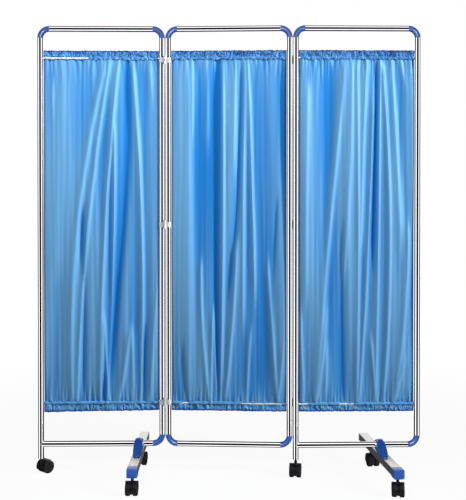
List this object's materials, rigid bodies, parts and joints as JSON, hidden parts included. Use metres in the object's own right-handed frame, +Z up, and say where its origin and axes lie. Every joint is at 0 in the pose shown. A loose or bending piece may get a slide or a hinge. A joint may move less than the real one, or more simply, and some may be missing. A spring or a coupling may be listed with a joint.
{
  "type": "folding privacy screen",
  "caption": "Folding ward privacy screen: hinged tube frames with gathered curtains, on swivel casters and turning T feet.",
  "frame": {"origin": "on the floor, under the middle of the whole screen's box at its rest pose", "axes": "+Z up, front towards -Y, the side that the blue caps of the two T feet point to, +X to the right seen from the front"},
  "size_m": [1.4728, 0.5114, 1.7168],
  "materials": {
    "polished_tube": "polished stainless steel",
    "bright_steel": "plain bright steel",
    "blue_elbow": "smooth moulded, royal blue",
    "blue_fitting": "smooth moulded, royal blue",
    "curtain_cloth": "satin woven polyester, sky blue",
    "curtain_rod": "white coated rod",
    "leg_paint": "pale grey paint",
    "caster_housing": "black moulded",
    "caster_wheel": "black moulded tread"
  },
  "bodies": {
    "middle_panel": {"middle_panel_post_left": "polished_tube", "middle_panel_post_right": "polished_tube", "middle_panel_rail_top": "polished_tube", "middle_panel_rail_bottom": "polished_tube", "middle_panel_elbow_top_left": "blue_elbow", "middle_panel_elbow_top_right": "blue_elbow", "middle_panel_elbow_bottom_left": "blue_elbow", "middle_panel_elbow_bottom_right": "blue_elbow", "middle_panel_curtain_rod_top": "curtain_rod", "middle_panel_curtain_rod_bottom": "curtain_rod", "middle_panel_curtain": "curtain_cloth", "right_hinge_pin_bottom": "bright_steel", "right_hinge_pin_middle": "bright_steel", "right_hinge_pin_top": "bright_steel"},
    "left_panel": {"left_panel_post_left": "polished_tube", "left_panel_post_right": "polished_tube", "left_panel_rail_top": "polished_tube", "left_panel_rail_bottom": "polished_tube", "left_panel_elbow_top_left": "blue_elbow", "left_panel_elbow_top_right": "blue_elbow", "left_panel_elbow_bottom_right": "blue_elbow", "left_panel_curtain_rod_top": "curtain_rod", "left_panel_curtain_rod_bottom": "curtain_rod", "left_panel_curtain": "curtain_cloth", "left_hinge_pin_bottom": "bright_steel", "left_hinge_pin_middle": "bright_steel", "left_hinge_pin_top": "bright_steel", "foot_left_clamp": "blue_fitting", "foot_left_swivel_bolt": "bright_steel"},
    "right_panel": {"right_panel_post_left": "polished_tube", "right_panel_post_right": "polished_tube", "right_panel_rail_top": "polished_tube", "right_panel_rail_bottom": "polished_tube", "right_panel_elbow_top_left": "blue_elbow", "right_panel_elbow_top_right": "blue_elbow", "right_panel_elbow_bottom_right": "blue_elbow", "right_panel_curtain_rod_top": "curtain_rod", "right_panel_curtain_rod_bottom": "curtain_rod", "right_panel_curtain": "curtain_cloth", "foot_right_clamp": "blue_fitting", "foot_right_swivel_bolt": "bright_steel"},
    "foot_left": {"foot_left_leg": "leg_paint", "foot_left_front_cap": "blue_fitting", "foot_left_rear_socket": "caster_housing"},
    "foot_right": {"foot_right_leg": "leg_paint", "foot_right_front_cap": "blue_fitting", "foot_right_rear_socket": "caster_housing"},
    "left_post_caster": {"left_post_caster_housing": "caster_housing"},
    "left_post_caster_wheels": {"left_post_caster_wheels": "caster_wheel"},
    "right_post_caster": {"right_post_caster_housing": "caster_housing"},
    "right_post_caster_wheels": {"right_post_caster_wheels": "caster_wheel"},
    "foot_left_front_caster": {"foot_left_front_caster_housing": "caster_housing"},
    "foot_left_front_caster_wheels": {"foot_left_front_caster_wheels": "caster_wheel"},
    "foot_left_rear_caster": {"foot_left_rear_caster_housing": "caster_housing"},
    "foot_left_rear_caster_wheels": {"foot_left_rear_caster_wheels": "caster_wheel"},
    "foot_right_front_caster": {"foot_right_front_caster_housing": "caster_housing"},
    "foot_right_front_caster_wheels": {"foot_right_front_caster_wheels": "caster_wheel"},
    "foot_right_rear_caster": {"foot_right_rear_caster_housing": "caster_housing"},
    "foot_right_rear_caster_wheels": {"foot_right_rear_caster_wheels": "caster_wheel"}
  },
  "joints": [
    {"name": "left_fold", "type": "hinge", "parent": "middle_panel", "child": "left_panel", "pos_m": [-0.2392, 0.0097, 0], "axis": [0, 0, 1], "range_deg": [-3.7, 140]},
    {"name": "right_fold", "type": "hinge", "parent": "middle_panel", "child": "right_panel", "pos_m": [0.24907, 0.0123, 0], "axis": [0, 0, 1], "range_deg": [-3.9, 170]},
    {"name": "left_foot_turn", "type": "hinge", "parent": "left_panel", "child": "foot_left", "pos_m": [-0.3412, 0.02072, 0], "axis": [0, 0, -1], "range_deg": [-75, 75]},
    {"name": "right_foot_turn", "type": "hinge", "parent": "right_panel", "child": "foot_right", "pos_m": [0.58406, 0.00652, 0], "axis": [0, 0, 1], "range_deg": [-75, 75]},
    {"name": "left_post_caster_swivel", "type": "hinge", "parent": "left_panel", "child": "left_post_caster", "pos_m": [-0.71565, 0.01419, 0], "axis": [0, 0, 1], "continuous": true},
    {"name": "left_post_caster_spin", "type": "hinge", "parent": "left_post_caster", "child": "left_post_caster_wheels", "pos_m": [-0.70151, 0.03104, 0.02469], "axis": [0.766, -0.6428, 0], "continuous": true},
    {"name": "right_post_caster_swivel", "type": "hinge", "parent": "right_panel", "child": "right_post_caster", "pos_m": [0.26063, -0.00026, 0], "axis": [0, 0, 1], "continuous": true},
    {"name": "right_post_caster_spin", "type": "hinge", "parent": "right_post_caster", "child": "right_post_caster_wheels", "pos_m": [0.25765, -0.02205, 0.02469], "axis": [-0.9907, 0.1357, 0], "continuous": true},
    {"name": "foot_left_front_caster_swivel", "type": "hinge", "parent": "foot_left", "child": "foot_left_front_caster", "pos_m": [-0.3412, -0.19428, 0], "axis": [0, 0, 1], "continuous": true},
    {"name": "foot_left_front_caster_spin", "type": "hinge", "parent": "foot_left_front_caster", "child": "foot_left_front_caster_wheels", "pos_m": [-0.3412, -0.21628, 0.02469], "axis": [-1, 0, 0], "continuous": true},
    {"name": "foot_left_rear_caster_swivel", "type": "hinge", "parent": "foot_left", "child": "foot_left_rear_caster", "pos_m": [-0.3412, 0.14072, 0], "axis": [0, 0, 1], "continuous": true},
    {"name": "foot_left_rear_caster_spin", "type": "hinge", "parent": "foot_left_rear_caster", "child": "foot_left_rear_caster_wheels", "pos_m": [-0.34274, 0.11878, 0.02469], "axis": [-0.9976, 0.0698, 0], "continuous": true},
    {"name": "foot_right_front_caster_swivel", "type": "hinge", "parent": "foot_right", "child": "foot_right_front_caster", "pos_m": [0.61175, -0.20669, 0], "axis": [0, 0, 1], "continuous": true},
    {"name": "foot_right_front_caster_spin", "type": "hinge", "parent": "foot_right_front_caster", "child": "foot_right_front_caster_wheels", "pos_m": [0.60884, -0.2285, 0.02469], "axis": [-0.9912, 0.1323, 0], "continuous": true},
    {"name": "foot_right_rear_caster_swivel", "type": "hinge", "parent": "foot_right", "child": "foot_right_rear_caster", "pos_m": [0.56861, 0.12552, 0], "axis": [0, 0, 1], "continuous": true},
    {"name": "foot_right_rear_caster_spin", "type": "hinge", "parent": "foot_right_rear_caster", "child": "foot_right_rear_caster_wheels", "pos_m": [0.5722, 0.10382, 0.02469], "axis": [-0.9866, -0.1633, 0], "continuous": true}
  ]
}
